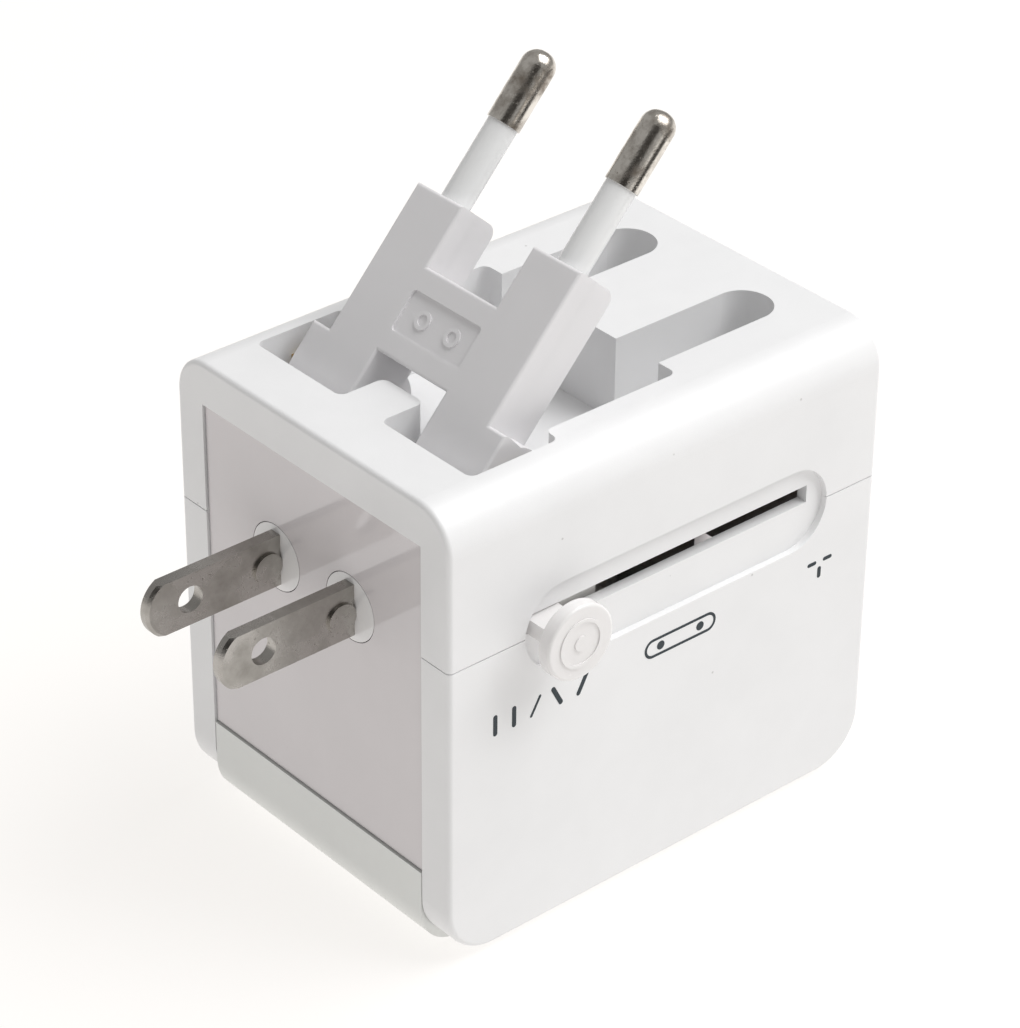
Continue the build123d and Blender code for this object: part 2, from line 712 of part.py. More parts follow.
def frame_outline(low, high):
    """The frame's H between two offsets from the pivot axis, with rounded roots on the legs."""
    with BuildSketch(frame_front_plane(low)) as letter_h:
        for side in (-1, 1):
            with Locations((euro_leg_length / 2, side * euro_y)):
                Rectangle(euro_leg_length, euro_leg_width)
        with Locations(((bar_start + bar_end) / 2, 0)):
            Rectangle(bar_end - bar_start, 2 * leg_inner)
    extrude(letter_h.sketch, amount=high - low)
    for side in (-1, 1):
        root = Plane(origin=pivot + Vector(0, side * leg_inner, 0), x_dir=along,
                     z_dir=Vector(0, side, 0))
        with BuildSketch(root) as leg_root:
            Circle(euro_face_offset)
            with BuildLine():
                Polyline(
                    (0, side * -euro_face_offset),
                    (euro_ear_height, side * -euro_face_offset),
                    (euro_ear_height, side * (euro_ear_heel - euro_face_offset)),
                    (euro_ear_foot, side * (euro_face_offset - euro_ear_slope_end)),
                    (0, 0),
                    close=True,
                )
            make_face()
        extrude(leg_root.sketch, amount=ear_outer - leg_inner)


def keep_band(low, high):
    """Keeps what lies between two offsets from the pivot axis."""
    with BuildSketch(frame_front_plane(low)) as band:
        Rectangle(4 * euro_leg_length, 2 * width)
    extrude(band.sketch, amount=high - low, mode=Mode.INTERSECT)


def frame_bores():
    """Bores for the sleeves, the pin cores and the pivot pins."""
    for side in (-1, 1):
        core_base = Plane(origin=pivot + outward * pin_offset + along * euro_core_start
                          + Vector(0, side * euro_y, 0), x_dir=outward, z_dir=along)
        with BuildSketch(core_base) as core:
            Circle(euro_core_diameter / 2)
        extrude(core.sketch, amount=euro_leg_length - euro_core_start, mode=Mode.SUBTRACT)
        sleeve_base = core_base.offset(euro_leg_length - euro_core_start - euro_sleeve_root)
        with BuildSketch(sleeve_base) as sleeve_seat:
            Circle(euro_sleeve_diameter / 2)
        extrude(sleeve_seat.sketch, amount=euro_sleeve_root, mode=Mode.SUBTRACT)
        ends = sorted((side * (leg_inner + pivot_bore_depth), side * ear_outer))
        cross_rod(euro_pivot_x, ends[0], ends[1], euro_pivot_z,
                  pivot_pin_diameter / 2 + running_clearance, mode=Mode.SUBTRACT)


with BuildPart() as euro_frame_front:
    frame_outline(pin_offset, euro_face_offset)
    keep_band(pin_offset, euro_face_offset)
    front_edges = euro_frame_front.faces().sort_by(Axis(pivot, outward))[-1].edges()
    fillet(front_edges, radius=euro_edge_radius)
    frame_bores()
    with BuildSketch(frame_front_plane(euro_face_offset)):
        with Locations(((bar_start + bar_end) / 2, 0)):
            RectangleRounded(euro_plate_height, euro_plate_width, euro_plate_corner)
    extrude(amount=-euro_plate_depth, mode=Mode.SUBTRACT)
    with BuildSketch(frame_front_plane(euro_face_offset - euro_plate_depth)):
        for side in (-1, 1):
            with Locations(((bar_start + bar_end) / 2, side * euro_ring_place)):
                Circle(euro_ring_radius)
                Circle(euro_ring_radius - euro_ring_width, mode=Mode.SUBTRACT)
    extrude(amount=euro_ring_height)
euro_frame_front.part.label = "euro_frame_front"
export_step(euro_frame_front.part, "parts/euro_frame_front.step")

with BuildPart() as euro_frame_back:
    frame_outline(back_offset, pin_offset)
    keep_band(-euro_leg_length, pin_offset)
    top_back = euro_frame_back.edges().filter_by(Axis.Y)
    top_back = top_back.sort_by(Axis(pivot, along)).group_by(Axis(pivot, along))[-1]
    fillet(top_back.group_by(Axis(pivot, outward))[0], radius=euro_back_radius)
    frame_bores()
euro_frame_back.part.label = "euro_frame_back"
export_step(euro_frame_back.part, "parts/euro_frame_back.step")

for name, side in (("near", -1), ("far", 1)):
    pin_base = Plane(origin=pivot + outward * pin_offset + Vector(0, side * euro_y, 0),
                     x_dir=outward, z_dir=along)
    sleeve_end = euro_leg_length + euro_sleeve_reach
    pin_end = euro_leg_length + euro_pin_reach
    with BuildPart() as euro_pin:
        with BuildSketch(pin_base.offset(euro_core_start)):
            Circle(euro_core_diameter / 2)
        extrude(amount=sleeve_end - euro_core_start)
        with BuildSketch(pin_base.offset(sleeve_end)):
            Circle(euro_pin_diameter / 2)
        extrude(amount=pin_end - sleeve_end)
        tip_edge = euro_pin.edges().filter_by(GeomType.CIRCLE).sort_by(Axis(pivot, along))[-1]
        fillet(tip_edge, radius=euro_pin_diameter / 2 - euro_tip_flat)
    euro_pin.part.label = name + "_euro_pin"
    export_step(euro_pin.part, "parts/" + name + "_euro_pin.step")
    with BuildPart() as euro_sleeve:
        with BuildSketch(pin_base.offset(euro_leg_length - euro_sleeve_root)):
            Circle(euro_sleeve_diameter / 2)
            Circle(euro_core_diameter / 2, mode=Mode.SUBTRACT)
        extrude(amount=euro_sleeve_root + euro_sleeve_reach)
    euro_sleeve.part.label = name + "_euro_sleeve"
    export_step(euro_sleeve.part, "parts/" + name + "_euro_sleeve.step")
    with BuildPart() as pivot_pin:
        ends = sorted((side * pivot_pin_start, side * (inner_y + wall / 2)))
        cross_rod(euro_pivot_x, ends[0], ends[1], euro_pivot_z, pivot_pin_diameter / 2)
    pivot_pin.part.label = name + "_euro_pivot"
    export_step(pivot_pin.part, "parts/" + name + "_euro_pivot.step")
    with BuildPart() as euro_contact:
        faces = sorted((side * pocket_outer, side * (pocket_outer - sheet)))
        block(euro_pivot_x - euro_contact_half_width,
              euro_pivot_x + euro_contact_half_width, faces[0], faces[1], ceiling,
              euro_pivot_z + euro_contact_half_width)
        cross_rod(euro_pivot_x, faces[0], faces[1], euro_pivot_z, pivot_pin_diameter / 2,
                  mode=Mode.SUBTRACT)
    euro_contact.part.label = name + "_euro_contact"
    export_step(euro_contact.part, "parts/" + name + "_euro_contact.step")
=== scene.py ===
import math

import bmesh
import bpy
from bpy.props import FloatProperty, FloatVectorProperty, PointerProperty
from mathutils import Matrix, Vector


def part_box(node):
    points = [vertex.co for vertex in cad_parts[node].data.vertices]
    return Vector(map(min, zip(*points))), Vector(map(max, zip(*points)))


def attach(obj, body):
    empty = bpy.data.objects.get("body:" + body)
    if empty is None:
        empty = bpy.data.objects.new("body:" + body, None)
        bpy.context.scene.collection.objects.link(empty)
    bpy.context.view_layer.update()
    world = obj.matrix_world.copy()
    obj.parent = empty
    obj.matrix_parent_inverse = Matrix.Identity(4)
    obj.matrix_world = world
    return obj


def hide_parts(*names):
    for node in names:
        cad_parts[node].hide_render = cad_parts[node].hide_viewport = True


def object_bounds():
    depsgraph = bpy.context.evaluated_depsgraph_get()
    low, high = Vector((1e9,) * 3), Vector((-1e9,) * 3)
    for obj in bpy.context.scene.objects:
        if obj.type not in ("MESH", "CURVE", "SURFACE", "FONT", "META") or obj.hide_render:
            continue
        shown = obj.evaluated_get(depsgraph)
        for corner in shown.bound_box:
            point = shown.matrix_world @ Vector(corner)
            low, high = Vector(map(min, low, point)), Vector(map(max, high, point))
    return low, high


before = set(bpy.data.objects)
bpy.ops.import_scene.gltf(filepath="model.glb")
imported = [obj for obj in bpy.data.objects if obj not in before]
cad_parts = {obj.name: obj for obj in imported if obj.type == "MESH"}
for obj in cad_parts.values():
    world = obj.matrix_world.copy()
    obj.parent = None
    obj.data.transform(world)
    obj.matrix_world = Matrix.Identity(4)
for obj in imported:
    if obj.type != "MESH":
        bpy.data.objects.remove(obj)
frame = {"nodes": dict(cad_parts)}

bl_info = {
    "name": "Travel adapter looks",
    "version": (1, 0, 0),
    "blender": (4, 5, 0),
    "location": "View3D > Sidebar > Adapter",
    "description": "Gives the travel adapter its finishes, printed marks, stage and camera",
    "category": "Object",
}

MM = 0.001
CAD_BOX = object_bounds()
CASING_LOW, CASING_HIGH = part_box("upper_housing")
PARTING = CASING_LOW.z
KNOB_LOW, KNOB_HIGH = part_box("push_knob")


def tint(name, description, default):
    """A colour property with no alpha."""
    return FloatVectorProperty(name=name, description=description, default=default,
                               subtype="COLOR", size=3, min=0.0, max=1.0)


def measure(name, description, default):
    """A length property in metres."""
    return FloatProperty(name=name, description=description, default=default,
                         subtype="DISTANCE", unit="LENGTH", precision=5)


class AdapterColours(bpy.types.PropertyGroup):
    casing: tint("Casing", "Moulded casing shells", (0.86, 0.86, 0.865))
    cover: tint("Socket cover", "Band under the casing", (0.80, 0.81, 0.79))
    panel: tint("Face panel", "Glossy end panels", (0.70, 0.665, 0.675))
    frame: tint("Folding frame", "Frame that carries the round pins", (0.80, 0.79, 0.80))
    knob: tint("Knob", "Push knob", (0.84, 0.825, 0.82))
    sleeve: tint("Sleeve", "Insulating sleeves on the round pins", (0.88, 0.885, 0.885))
    rotor: tint("Rotor", "Turning discs that hold the flat blades", (0.86, 0.85, 0.85))
    nylon: tint("Nylon", "Carriage and earth pin", (0.78, 0.77, 0.75))
    nickel: tint("Nickel", "Bright part of the plating", (0.45, 0.43, 0.405))
    nickel_dark: tint("Worn nickel", "Dull part of the plating", (0.30, 0.285, 0.26))
    brass: tint("Brass", "Inner contact strips", (0.62, 0.44, 0.20))
    ink: tint("Ink", "Printed marks", (0.012, 0.024, 0.033))
    floor: tint("Floor", "Studio floor", (0.25, 0.25, 0.252))


class AdapterSizes(bpy.types.PropertyGroup):
    mark_height: measure("Mark height", "Height of a printed mark", 2.1 * MM)
    mark_stroke: measure("Mark stroke", "Line width of a printed mark", 0.34 * MM)
    mark_drop: measure("Mark drop", "From the parting line down to the marks' middle", 9.0 * MM)
    ink_film: measure("Ink film", "How far the ink stands off the casing", 0.02 * MM)
    fuse_cap: measure("Fuse cap", "Length of each metal cap on the fuse", 5.0 * MM)
    lens: FloatProperty(name="Lens", description="Focal length in millimetres", default=133.8)


def colours():
    """The colours as set in the sidebar."""
    return bpy.context.scene.adapter_colours


def sizes():
    """The sizes as set in the sidebar."""
    return bpy.context.scene.adapter_sizes


# Shader node groups

def add_node(tree, kind, **values):
    """Adds a shader node and sets its properties and its input values by name."""
    made = tree.nodes.new(kind)
    for key, value in values.items():
        if key in made.inputs:
            made.inputs[key].default_value = value
        else:
            setattr(made, key, value)
    return made


def new_group(name, inputs, outputs):
    """An empty shader group with the given sockets, and its two end nodes."""
    tree = bpy.data.node_groups.new(name, "ShaderNodeTree")
    for label, kind, default in inputs:
        socket = tree.interface.new_socket(name=label, in_out="INPUT", socket_type=kind)
        socket.default_value = default
    for label, kind in outputs:
        tree.interface.new_socket(name=label, in_out="OUTPUT", socket_type=kind)
    return tree, tree.nodes.new("NodeGroupInput"), tree.nodes.new("NodeGroupOutput")


def noise(tree, vector, scale, detail=4.0, roughness=0.55):
    """A noise texture on the given vector. scale may be a number or a socket."""
    made = add_node(tree, "ShaderNodeTexNoise", Detail=detail, Roughness=roughness)
    tree.links.new(vector, made.inputs["Vector"])
    if isinstance(scale, (int, float)):
        made.inputs["Scale"].default_value = scale
    else:
        tree.links.new(scale, made.inputs["Scale"])
    return made.outputs["Fac"]


def remap(tree, value, from_low, from_high, to_low, to_high):
    """Maps a value from one range to another and clamps it there."""
    made = tree.nodes.new("ShaderNodeMapRange")
    tree.links.new(value, made.inputs["Value"])
    for label, amount in (("From Min", from_low), ("From Max", from_high),
                          ("To Min", to_low), ("To Max", to_high)):
        if isinstance(amount, (int, float)):
            made.inputs[label].default_value = amount
        else:
            tree.links.new(amount, made.inputs[label])
    return made.outputs["Result"]


def mix_colour(tree, factor, first, second):
    """Mixes two colour sockets by a factor socket."""
    made = add_node(tree, "ShaderNodeMix", data_type="RGBA")
    tree.links.new(factor, made.inputs[0])
    tree.links.new(first, made.inputs[6])
    tree.links.new(second, made.inputs[7])
    return made.outputs[2]


def moulded_grain_group():
    """Fine spark-eroded grain, flow mottling and stray specks of a plastic moulding."""
    tree, start, end = new_group(
        "moulded_grain",
        [("Color", "NodeSocketColor", (0.8, 0.8, 0.8, 1)),
         ("Mottle Color", "NodeSocketColor", (0.78, 0.78, 0.78, 1)),
         ("Grain Scale", "NodeSocketFloat", 7000.0),
         ("Rough Low", "NodeSocketFloat", 0.35),
         ("Rough High", "NodeSocketFloat", 0.5)],
        [("Color", "NodeSocketColor"), ("Roughness", "NodeSocketFloat"),
         ("Height", "NodeSocketFloat")])
    place = tree.nodes.new("ShaderNodeTexCoord").outputs["Object"]
    fine = noise(tree, place, start.outputs["Grain Scale"], 3.0, 0.6)
    mottle = noise(tree, place, 95.0, 3.0)
    wipe = noise(tree, place, 420.0, 5.0)
    blotch = remap(tree, mottle, 0.35, 0.7, 0.0, 1.0)
    body = mix_colour(tree, blotch, start.outputs["Color"], start.outputs["Mottle Color"])
    speck = add_node(tree, "ShaderNodeTexVoronoi", Scale=160.0)
    tree.links.new(place, speck.inputs["Vector"])
    dust = remap(tree, speck.outputs["Distance"], 0.018, 0.03, 0.35, 0.0)
    dark = add_node(tree, "ShaderNodeRGB")
    dark.outputs[0].default_value = (0.22, 0.20, 0.18, 1)
    body = mix_colour(tree, dust, body, dark.outputs[0])
    rough = remap(tree, wipe, 0.3, 0.7, start.outputs["Rough Low"], start.outputs["Rough High"])
    tree.links.new(body, end.inputs["Color"])
    tree.links.new(rough, end.inputs["Roughness"])
    tree.links.new(fine, end.inputs["Height"])
    return tree


def plating_wear_group():
    """Brushed lines, dull patches and small pits in plated metal."""
    tree, start, end = new_group(
        "plating_wear",
        [("Bright", "NodeSocketColor", (0.66, 0.62, 0.57, 1)),
         ("Dull", "NodeSocketColor", (0.36, 0.33, 0.29, 1)),
         ("Patch Scale", "NodeSocketFloat", 260.0),
         ("Rough Low", "NodeSocketFloat", 0.18),
         ("Rough High", "NodeSocketFloat", 0.42)],
        [("Color", "NodeSocketColor"), ("Roughness", "NodeSocketFloat"),
         ("Height", "NodeSocketFloat")])
    place = tree.nodes.new("ShaderNodeTexCoord").outputs["Object"]
    stretch = add_node(tree, "ShaderNodeMapping", Scale=(0.06, 1.0, 1.0))
    tree.links.new(place, stretch.inputs["Vector"])
    lines = noise(tree, stretch.outputs["Vector"], 5200.0, 4.0, 0.7)
    patch = noise(tree, place, start.outputs["Patch Scale"], 6.0, 0.65)
    pits = noise(tree, place, 2600.0, 2.0, 0.5)
    worn = remap(tree, patch, 0.42, 0.68, 0.0, 1.0)
    pit = remap(tree, pits, 0.66, 0.74, 0.0, 0.8)
    spoilt = add_node(tree, "ShaderNodeMath", operation="MAXIMUM")
    tree.links.new(worn, spoilt.inputs[0])
    tree.links.new(pit, spoilt.inputs[1])
    body = mix_colour(tree, spoilt.outputs[0], start.outputs["Bright"], start.outputs["Dull"])
    rough = remap(tree, spoilt.outputs[0], 0.0, 1.0, start.outputs["Rough Low"],
                  start.outputs["Rough High"])
    height = add_node(tree, "ShaderNodeMath", operation="SUBTRACT")
    tree.links.new(lines, height.inputs[0])
    tree.links.new(pit, height.inputs[1])
    tree.links.new(body, end.inputs["Color"])
    tree.links.new(rough, end.inputs["Roughness"])
    tree.links.new(height.outputs[0], end.inputs["Height"])
    return tree


def group_named(name, maker):
    """The shader group of that name, built the first time it is asked for."""
    return bpy.data.node_groups.get(name) or maker()


def material_with(name, group, group_values, shader_values, bump):
    """A Principled material whose colour, roughness and bump come from a shader group."""
    material = bpy.data.materials.new(name)
    material.use_nodes = True
    tree = material.node_tree
    shader = tree.nodes["Principled BSDF"]
    for label, value in shader_values.items():
        shader.inputs[label].default_value = value
    detail = add_node(tree, "ShaderNodeGroup", node_tree=group)
    for label, value in group_values.items():
        detail.inputs[label].default_value = value
    relief = add_node(tree, "ShaderNodeBump", Strength=bump, Distance=0.00004)
    tree.links.new(detail.outputs["Height"], relief.inputs["Height"])
    tree.links.new(relief.outputs["Normal"], shader.inputs["Normal"])
    tree.links.new(detail.outputs["Color"], shader.inputs["Base Color"])
    tree.links.new(detail.outputs["Roughness"], shader.inputs["Roughness"])
    return material


def plastic(name, colour, grain=7000.0, rough=(0.34, 0.46), bump=0.25, coat=0.0, glow=0.0):
    """Moulded plastic. glow is how far light travels under its surface, from 0 to 1."""
    mottled = [part * 0.97 for part in colour]
    return material_with(
        name, group_named("moulded_grain", moulded_grain_group),
        {"Color": (*colour, 1), "Mottle Color": (*mottled, 1), "Grain Scale": grain,
         "Rough Low": rough[0], "Rough High": rough[1]},
        {"IOR": 1.5, "Coat Weight": coat, "Coat Roughness": 0.05,
         "Subsurface Weight": glow, "Subsurface Radius": (0.8, 0.8, 0.8),
         "Subsurface Scale": 0.0015},
        bump)


def plated(name, bright, dull, patch=260.0, rough=(0.18, 0.42), bump=0.35):
    """Plated or bare metal with brushing, dull patches and pits."""
    return material_with(
        name, group_named("plating_wear", plating_wear_group),
        {"Bright": (*bright, 1), "Dull": (*dull, 1), "Patch Scale": patch,
         "Rough Low": rough[0], "Rough High": rough[1]},
        {"Metallic": 1.0}, bump)


# Mesh helpers

def finish_nodes(material, *names):
    """Gives CAD nodes one material."""
    for name in names:
        mesh = frame["nodes"][name].data
        mesh.materials.clear()
        mesh.materials.append(material)


def object_from(name, mesh_maker, material):
    """A new object from a bmesh that has been filled by a function."""
    shape = bmesh.new()
    mesh_maker(shape)
    bmesh.ops.recalc_face_normals(shape, faces=shape.faces)
    mesh = bpy.data.meshes.new(name)
    shape.to_mesh(mesh)
    shape.free()
    mesh.materials.append(material)
    made = bpy.data.objects.new(name, mesh)
    bpy.context.collection.objects.link(made)
    return made


def add_plate(shape, outline, y_back, y_front):
    """A flat plate with an XZ outline between two Y planes."""
    back = [shape.verts.new((x, y_back, z)) for x, z in outline]
    front = [shape.verts.new((x, y_front, z)) for x, z in outline]
    shape.faces.new(front)
    shape.faces.new(list(reversed(back)))
    count = len(outline)
    for index in range(count):
        following = (index + 1) % count
        shape.faces.new((back[index], back[following], front[following], front[index]))


def add_ring(shape, outer, inner, y_back, y_front):
    """A flat band between two closed XZ outlines with the same number of points."""
    rows = []
    for outline in (outer, inner):
        for y in (y_back, y_front):
            rows.append([shape.verts.new((x, y, z)) for x, z in outline])
    outer_back, outer_front, inner_back, inner_front = rows
    count = len(outer)
    for index in range(count):
        following = (index + 1) % count
        for first, second in ((outer_front, inner_front), (inner_front, inner_back),
                              (inner_back, outer_back), (outer_back, outer_front)):
            shape.faces.new((first[index], first[following], second[following], second[index]))


def stroke_outline(start, finish, thickness):
    """The XZ outline of a straight stroke with round ends."""
    start, finish = Vector(start), Vector(finish)
    angle = math.atan2(finish.y - start.y, finish.x - start.x)
    points = []
    for centre, turn in ((finish, -math.pi / 2), (start, math.pi / 2)):
        for step in range(9):
            place = angle + turn + math.pi * step / 8
            points.append((centre.x + thickness / 2 * math.cos(place),
                           centre.y + thickness / 2 * math.sin(place)))
    return points


def stadium_outline(middle_x, middle_z, full_width, full_height, inset):
    """The XZ outline of a lozenge with round ends, moved in by an inset."""
    radius = full_height / 2 - inset
    reach = full_width / 2 - full_height / 2
    points = []
    for side, turn in ((1, -math.pi / 2), (-1, math.pi / 2)):
        for step in range(17):
            place = turn + math.pi * step / 16
            points.append((middle_x + side * reach + radius * math.cos(place),
                           middle_z + radius * math.sin(place)))
    return points


class ADAPTER_OT_casing(bpy.types.Operator):
    """Finish the casing shells, the socket cover and its screws"""
    bl_idname = "adapter.casing"
    bl_label = "Casing"

    def execute(self, context):
        tones = colours()
        finish_nodes(plastic("casing_plastic", tones.casing), "upper_housing", "lower_housing")
        finish_nodes(plastic("cover_plastic", tones.cover), "socket_cover")
        finish_nodes(plated("screw_zinc", (0.6, 0.6, 0.62), (0.35, 0.34, 0.33)), "cover_screws")
        return {"FINISHED"}


class ADAPTER_OT_panels(bpy.types.Operator):
    """Finish the two glossy face panels"""
    bl_idname = "adapter.panels"
    bl_label = "Face panels"

    def execute(self, context):
        gloss = plastic("panel_gloss", colours().panel, grain=700.0, rough=(0.07, 0.13), bump=0.05,
                        coat=0.4)
        finish_nodes(gloss, "us_face_panel", "uk_face_panel")
        return {"FINISHED"}


class ADAPTER_OT_carriage(bpy.types.Operator):
    """Finish the sliding carriage, its push knob, the knob's spring and the turning discs"""
    bl_idname = "adapter.carriage"
    bl_label = "Carriage and knob"

    def execute(self, context):
        tones = colours()
        nylon = plastic("carriage_nylon", tones.nylon, rough=(0.4, 0.55))
        finish_nodes(nylon, "carriage_body", "carriage_cap")
        knob = plastic("knob_gloss", tones.knob, grain=2500.0, rough=(0.18, 0.28), bump=0.08,
                       coat=0.2, glow=0.15)
        finish_nodes(knob, "push_knob")
        rotor = plastic("rotor_gloss", tones.rotor, grain=1800.0, rough=(0.08, 0.16), bump=0.06,
                        coat=0.5)
        finish_nodes(rotor, "near_blade_rotor", "far_blade_rotor")
        steel = plated("spring_steel", (0.55, 0.55, 0.56), (0.3, 0.3, 0.3))
        finish_nodes(steel, "knob_spring")
        return {"FINISHED"}


class ADAPTER_OT_blades(bpy.types.Operator):
    """Finish the flat blades and the rectangular pins"""
    bl_idname = "adapter.blades"
    bl_label = "Blades and rectangular pins"

    def execute(self, context):
        tones = colours()
        satin = plated("satin_nickel", tones.nickel, tones.nickel_dark, patch=150.0,
                       rough=(0.24, 0.38), bump=0.45)
        finish_nodes(satin, "near_us_blade", "far_us_blade", "live_uk_pin", "neutral_uk_pin")
        earth = plastic("earth_pin_nylon", tones.nylon, grain=2500.0, rough=(0.22, 0.34))
        finish_nodes(earth, "earth_uk_pin")
        return {"FINISHED"}


class ADAPTER_OT_folding_frame(bpy.types.Operator):
    """Finish the folding frame, its round pins, their sleeves and the pivots"""
    bl_idname = "adapter.folding_frame"
    bl_label = "Folding frame"

    def execute(self, context):
        tones = colours()
        body = plastic("frame_plastic", tones.frame, grain=5000.0, rough=(0.3, 0.42), bump=0.12,
                       glow=0.1)
        finish_nodes(body, "euro_frame_front", "euro_frame_back")
        tip = plated("worn_bright_nickel", (0.80, 0.76, 0.70), (0.30, 0.26, 0.22), patch=420.0,
                     rough=(0.12, 0.4), bump=0.4)
        finish_nodes(tip, "near_euro_pin", "far_euro_pin", "near_euro_pivot", "far_euro_pivot")
        sleeve = plastic("sleeve_gloss", tones.sleeve, grain=2500.0, rough=(0.16, 0.26), bump=0.06,
                         glow=0.2)
        finish_nodes(sleeve, "near_euro_sleeve", "far_euro_sleeve")
        return {"FINISHED"}


class ADAPTER_OT_contacts(bpy.types.Operator):
    """Finish the brass strips and clips inside"""
    bl_idname = "adapter.contacts"
    bl_label = "Contacts"

    def execute(self, context):
        brass = plated("contact_brass", colours().brass, (0.30, 0.20, 0.10), rough=(0.2, 0.45))
        finish_nodes(brass, "live_socket_contact", "neutral_socket_contact", "live_rail",
                     "neutral_rail", "live_wiper", "neutral_wiper", "near_euro_contact",
                     "far_euro_contact", "fuse_clips")
        return {"FINISHED"}


class ADAPTER_OT_fuse(bpy.types.Operator):
    """Make the fuse: a ceramic tube between two crimped metal caps"""
    bl_idname = "adapter.fuse"
    bl_label = "Fuse"

    def execute(self, context):
        low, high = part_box("fuse")
        radius = (high.z - low.z) / 2
        middle = (low + high) / 2
        cap = sizes().fuse_cap
        profile = [(low.x, 0.0), (low.x, radius - 0.3 * MM), (low.x + 0.3 * MM, radius),
                   (low.x + cap, radius), (low.x + cap, radius - 0.25 * MM),
                   (high.x - cap, radius - 0.25 * MM), (high.x - cap, radius),
                   (high.x - 0.3 * MM, radius), (high.x, radius - 0.3 * MM), (high.x, 0.0)]
        segments = 48

        def turn(shape):
            rows = []
            for x, reach in profile[1:-1]:
                row = []
                for i in range(segments):
                    angle = 2 * math.pi * i / segments
                    row.append(shape.verts.new((x, middle.y + reach * math.cos(angle),
                                                middle.z + reach * math.sin(angle))))
                rows.append(row)
            for first, second in zip(rows, rows[1:]):
                for i in range(segments):
                    j = (i + 1) % segments
                    shape.faces.new((first[i], first[j], second[j], second[i]))
            shape.faces.new(rows[0])
            shape.faces.new(rows[-1])

        ceramic = plastic("fuse_ceramic", (0.80, 0.78, 0.72), rough=(0.3, 0.4))
        made = object_from("fuse_with_caps", turn, ceramic)
        made.data.materials.append(plated("fuse_cap_nickel", (0.7, 0.7, 0.7), (0.4, 0.4, 0.4)))
        for face in made.data.polygons:
            outside = abs(face.center.x - middle.x) > (high.x - low.x) / 2 - cap - 0.01 * MM
            face.material_index = 1 if outside else 0
        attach(made, "casing")
        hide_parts("fuse")
        return {"FINISHED"}


class ADAPTER_OT_marks(bpy.types.Operator):
    """Print a pin pattern beside each of the knob's three places"""
    bl_idname = "adapter.marks"
    bl_label = "Printed marks"

    def execute(self, context):
        set_sizes = sizes()
        ink = plastic("printed_ink", colours().ink, grain=4000.0, rough=(0.4, 0.55), bump=0.1)
        face = CASING_LOW.y
        film = (face + 0.01 * MM, face - set_sizes.ink_film)
        middle_z = PARTING - set_sizes.mark_drop
        half = set_sizes.mark_height / 2
        line = set_sizes.mark_stroke
        slot_start = KNOB_LOW.x

        def flat_blades(shape):
            left = slot_start - 2.6 * MM
            for x, lean in ((left, 0), (left + 2.6 * MM, 0), (left + 8.6 * MM, -0.55 * MM),
                            (left + 12.2 * MM, 0.55 * MM)):
                add_plate(shape, stroke_outline((x - lean, middle_z - half), (x + lean, middle_z + half),
                                                line * 1.7), *film)
            add_plate(shape, stroke_outline((left + 5.0 * MM, middle_z - half),
                                            (left + 6.2 * MM, middle_z + half), line), *film)

        def round_pins(shape):
            middle_x = slot_start + 23.8 * MM
            full_width = 10.5 * MM
            full_height = 2 * half + line
            add_ring(shape, stadium_outline(middle_x, middle_z, full_width, full_height, 0),
                     stadium_outline(middle_x, middle_z, full_width, full_height, line), *film)
            for side in (-1, 1):
                spot = (middle_x + side * 2.9 * MM, middle_z)
                add_plate(shape, stroke_outline(spot, (spot[0] + 0.01 * MM, spot[1]), 1.1 * MM), *film)

        def three_pins(shape):
            middle_x = slot_start + 44.9 * MM
            add_plate(shape, stroke_outline((middle_x, middle_z - half), (middle_x, middle_z - 0.1 * MM),
                                            line * 1.6), *film)
            for side in (-1, 1):
                inner = middle_x + side * 0.75 * MM
                add_plate(shape, stroke_outline((inner, middle_z + half - line / 2),
                                                (inner + side * 0.9 * MM, middle_z + half - line / 2),
                                                line * 1.4), *film)

        for name, maker in (("print_flat_blades", flat_blades), ("print_round_pins", round_pins),
                            ("print_three_pins", three_pins)):
            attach(object_from(name, maker, ink), "casing")
        return {"FINISHED"}


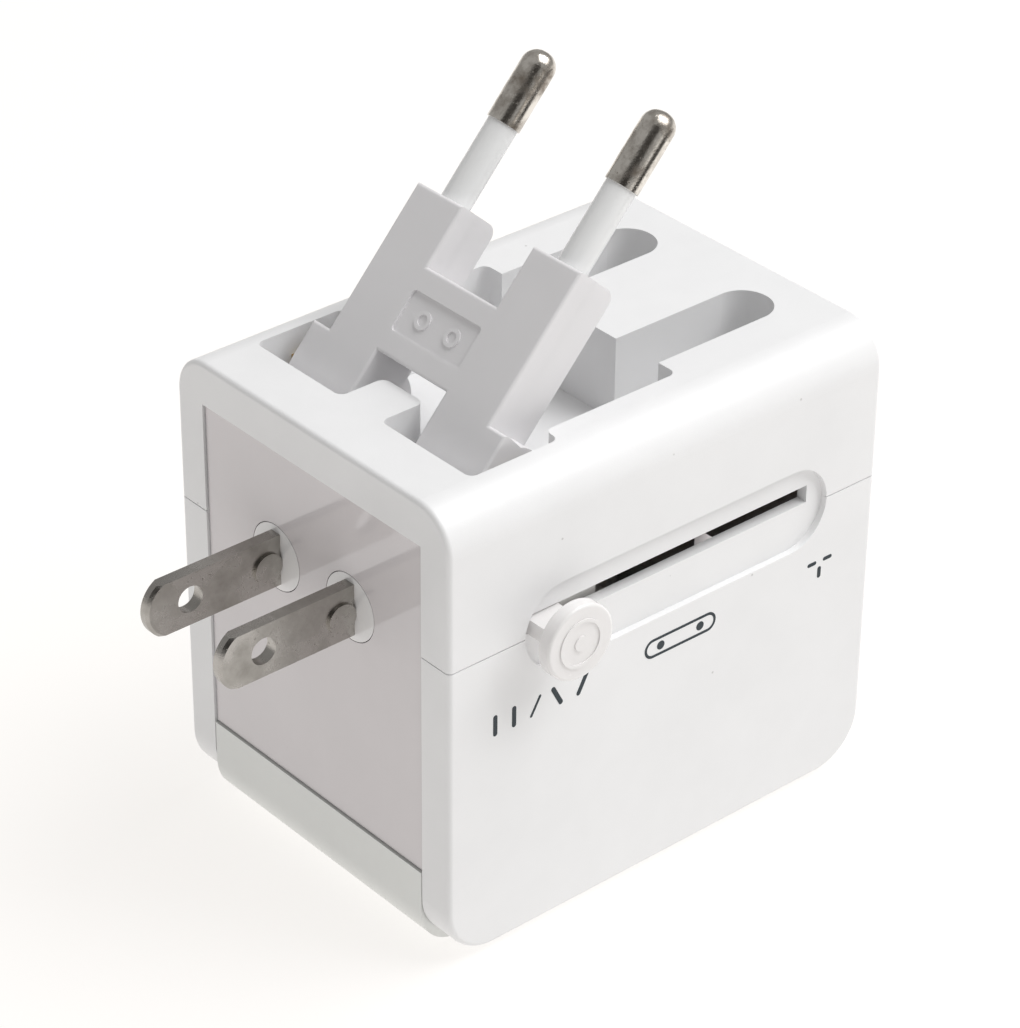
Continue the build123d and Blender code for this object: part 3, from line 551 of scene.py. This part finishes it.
class ADAPTER_OT_stage(bpy.types.Operator):
    """Lay the pale floor, the reflection cards and the soft studio light"""
    bl_idname = "adapter.stage"
    bl_label = "Stage and lights"

    def execute(self, context):
        pale = bpy.data.materials.new("studio_floor")
        pale.use_nodes = True
        shader = pale.node_tree.nodes["Principled BSDF"]
        shader.inputs["Base Color"].default_value = (*colours().floor, 1)
        shader.inputs["Roughness"].default_value = 0.75
        shader.inputs["Specular IOR Level"].default_value = 0.2
        shader.inputs["Emission Color"].default_value = (1.0, 0.975, 0.945, 1)
        shader.inputs["Emission Strength"].default_value = 0.80
        reach = 6.0

        def lay(shape):
            corners = [shape.verts.new((x * reach, y * reach, 0))
                       for x, y in ((-1, -1), (1, -1), (1, 1), (-1, 1))]
            shape.faces.new(corners)

        object_from("studio_floor", lay, pale)

        # Dark cards that only reflections see, for the streak along the round pins
        dark = bpy.data.materials.new("reflection_card")
        dark.use_nodes = True
        card_shader = dark.node_tree.nodes["Principled BSDF"]
        card_shader.inputs["Base Color"].default_value = (0.02, 0.018, 0.016, 1)
        card_shader.inputs["Roughness"].default_value = 1.0

        def lay_card(shape):
            corners = [shape.verts.new((x, y, 0.002))
                       for x, y in ((-0.06, -0.55), (0.45, -0.55), (0.45, -0.12), (-0.06, -0.12))]
            shape.faces.new(corners)
            upright = [shape.verts.new(place) for place in
                       ((-0.62, -0.22, 0.12), (-0.20, -0.70, 0.12), (-0.20, -0.70, 0.75),
                        (-0.62, -0.22, 0.75))]
            shape.faces.new(upright)

        card = object_from("reflection_card", lay_card, dark)
        card.visible_camera = False
        card.visible_diffuse = False
        card.visible_shadow = False
        card.visible_transmission = False
        world = bpy.data.worlds.new("studio_world")
        world.use_nodes = True
        sky = world.node_tree.nodes["Background"]
        sky.inputs["Color"].default_value = (1.0, 0.995, 0.985, 1)
        sky.inputs["Strength"].default_value = 0.36
        context.scene.world = world
        centre = (CAD_BOX[0] + CAD_BOX[1]) / 2
        data = bpy.data.lights.new("key", "AREA")
        data.size = 0.8
        data.energy = 9.8
        lamp = bpy.data.objects.new("key", data)
        lamp.location = Vector((0.45, -0.33, 0.87))
        lamp.rotation_euler = (centre - lamp.location).to_track_quat("-Z", "Y").to_euler()
        context.collection.objects.link(lamp)
        context.scene.view_settings.view_transform = "Standard"
        return {"FINISHED"}


class ADAPTER_OT_camera(bpy.types.Operator):
    """Stand the camera at the adapter's blade corner, looking down at it"""
    bl_idname = "adapter.camera"
    bl_label = "Camera"

    def execute(self, context):
        data = bpy.data.cameras.new("camera")
        data.sensor_fit = "HORIZONTAL"
        data.sensor_width = 36.0
        data.lens = sizes().lens
        data.clip_start = 0.01
        data.clip_end = 20.0
        camera = bpy.data.objects.new("camera", data)
        azimuth = math.radians(40.89)
        drop = math.radians(32.17)
        roll = math.radians(0.56)
        forward = Vector((math.sin(azimuth) * math.cos(drop), math.cos(azimuth) * math.cos(drop),
                          -math.sin(drop)))
        level = Vector((math.cos(azimuth), -math.sin(azimuth), 0.0))
        upward = level.cross(forward)
        right = level * math.cos(roll) + upward * math.sin(roll)
        up = right.cross(forward)
        turn = Matrix((right, up, -forward)).transposed().to_4x4()
        camera.matrix_world = Matrix.Translation(Vector((-0.23588, -0.26903, 0.26006))) @ turn
        context.collection.objects.link(camera)
        context.scene.camera = camera
        return {"FINISHED"}


OPERATORS = (ADAPTER_OT_camera, ADAPTER_OT_casing, ADAPTER_OT_panels, ADAPTER_OT_carriage,
             ADAPTER_OT_blades, ADAPTER_OT_folding_frame, ADAPTER_OT_contacts, ADAPTER_OT_fuse,
             ADAPTER_OT_marks, ADAPTER_OT_stage)


class ADAPTER_PT_sidebar(bpy.types.Panel):
    """The adapter's sizes, colours and build steps"""
    bl_idname = "ADAPTER_PT_sidebar"
    bl_label = "Travel adapter"
    bl_space_type = "VIEW_3D"
    bl_region_type = "UI"
    bl_category = "Adapter"

    def draw(self, context):
        for step in OPERATORS:
            self.layout.operator(step.bl_idname)
        for group in (colours(), sizes()):
            for key in group.bl_rna.properties.keys():
                if key not in ("rna_type", "name"):
                    self.layout.prop(group, key)


CLASSES = (AdapterColours, AdapterSizes, *OPERATORS, ADAPTER_PT_sidebar)


def register():
    for kind in CLASSES:
        bpy.utils.register_class(kind)
    bpy.types.Scene.adapter_colours = PointerProperty(type=AdapterColours)
    bpy.types.Scene.adapter_sizes = PointerProperty(type=AdapterSizes)


def unregister():
    del bpy.types.Scene.adapter_sizes
    del bpy.types.Scene.adapter_colours
    for kind in reversed(CLASSES):
        bpy.utils.unregister_class(kind)


def main():
    register()
    for step in OPERATORS:
        family, action = step.bl_idname.split(".")
        getattr(getattr(bpy.ops, family), action)()


if __name__ == "__main__":
    main()
